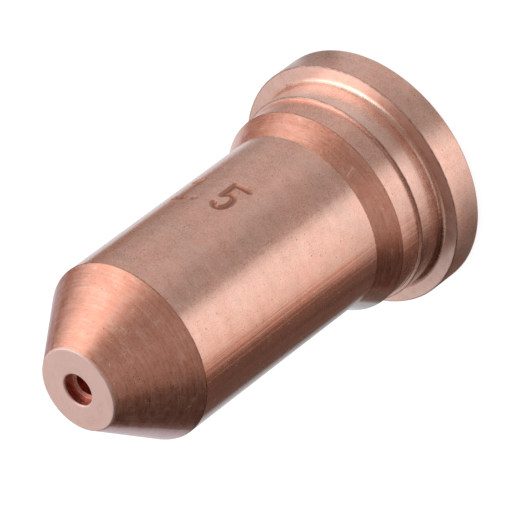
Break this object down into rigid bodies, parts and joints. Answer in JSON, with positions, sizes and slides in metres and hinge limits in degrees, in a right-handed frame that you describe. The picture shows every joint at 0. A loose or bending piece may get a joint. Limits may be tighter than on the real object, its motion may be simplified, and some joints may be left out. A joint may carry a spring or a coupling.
{
  "type": "plasma torch nozzle",
  "caption": "Turned copper cutting nozzle with a conical nose, long round body, stepped collars and a clamping flange; it narrows the plasma arc to a fine jet.",
  "frame": {"origin": "centre of the rear face, on the surface that the nozzle stands on", "axes": "+Z along the bore axis, towards the tip; +X and +Y across it, with -Y facing the picture's camera"},
  "size_m": [0.0164, 0.0164, 0.0282],
  "materials": {
    "copper": "turned, slightly tarnished"
  },
  "bodies": {
    "root": {"nozzle": "copper"}
  },
  "joints": []
}
